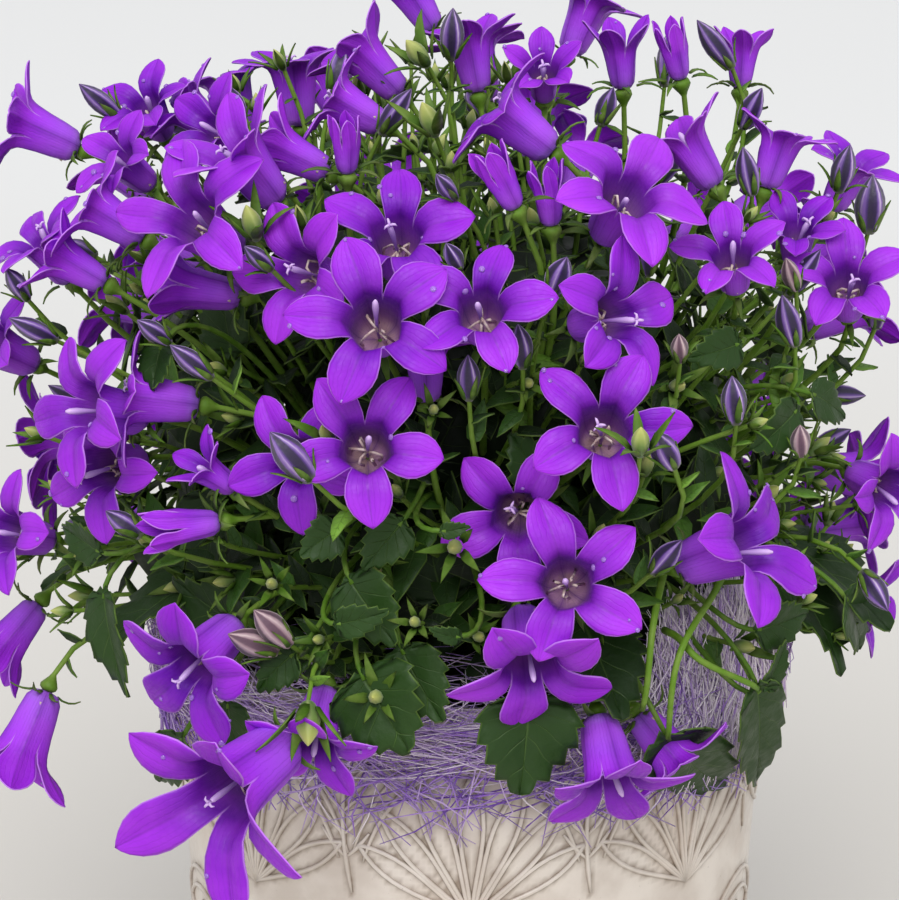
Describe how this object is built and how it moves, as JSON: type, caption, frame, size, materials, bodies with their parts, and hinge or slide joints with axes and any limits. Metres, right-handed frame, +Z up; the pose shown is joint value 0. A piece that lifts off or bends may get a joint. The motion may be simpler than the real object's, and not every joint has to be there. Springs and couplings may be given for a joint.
{
  "type": "potted bellflower",
  "caption": "Bellflower in full purple bloom in a cream ceramic cover pot with raised leaf ornament and a lilac sisal collar over its rim.",
  "frame": {"origin": "centre of the cover pot's flat underside, on the surface that it stands on", "axes": "+Z up, -Y towards the viewer of the pictured side, +X to that viewer's right"},
  "size_m": [0.2226, 0.2314, 0.2769],
  "materials": {
    "pot_glaze": "satin cream glaze with taupe in the recesses of the raised ornament",
    "nursery_plastic": "matt thin plastic",
    "potting_soil": "moist dark potting soil",
    "sisal_fibre": "dry lilac sisal fibres",
    "foliage_green": "satin leaves with lighter veins, smooth light green stalks",
    "petal_purple": "velvety purple petals with pale edges and a dark violet throat"
  },
  "bodies": {
    "root": {"bloom_a01": "petal_purple", "bloom_a03": "petal_purple", "bloom_a05": "petal_purple", "bloom_a07": "petal_purple", "bloom_a09": "petal_purple", "bloom_a11": "petal_purple", "bloom_a12": "petal_purple", "bloom_a13": "petal_purple", "bloom_a15": "petal_purple", "bloom_a16": "petal_purple", "bloom_a17": "petal_purple", "bloom_a18": "petal_purple", "bloom_a19": "petal_purple", "bloom_a21": "petal_purple", "bloom_a22": "petal_purple", "bloom_a25": "petal_purple", "bloom_a26": "petal_purple", "bloom_a27": "petal_purple", "bloom_b01": "petal_purple", "bloom_b02": "petal_purple", "bloom_b05": "petal_purple", "bloom_b08": "petal_purple", "bloom_b10": "petal_purple", "bloom_b12": "petal_purple", "bloom_b13": "petal_purple", "bloom_b14": "petal_purple", "bloom_b15": "petal_purple", "bloom_b16": "petal_purple", "bloom_b18": "petal_purple", "bloom_b19": "petal_purple", "bloom_b20": "petal_purple", "bloom_b25": "petal_purple", "bloom_c02": "petal_purple", "bloom_c07": "petal_purple", "bloom_c08": "petal_purple", "bloom_c09": "petal_purple", "bloom_c10": "petal_purple", "bloom_d01": "petal_purple", "bloom_d02": "petal_purple", "bloom_d04": "petal_purple", "bloom_d05": "petal_purple", "bloom_d06": "petal_purple", "bloom_d07": "petal_purple", "bloom_r01": "petal_purple", "bloom_r03": "petal_purple", "bloom_r05": "petal_purple", "bloom_r07": "petal_purple", "bloom_r09": "petal_purple", "bloom_r11": "petal_purple", "bloom_r13": "petal_purple", "bloom_r15": "petal_purple", "bloom_r17": "petal_purple", "bloom_r19": "petal_purple", "bloom_r21": "petal_purple", "cover_pot": "pot_glaze", "foliage": "foliage_green", "nursery_pot": "nursery_plastic", "sisal_collar": "sisal_fibre", "soil": "potting_soil"}
  },
  "joints": []
}
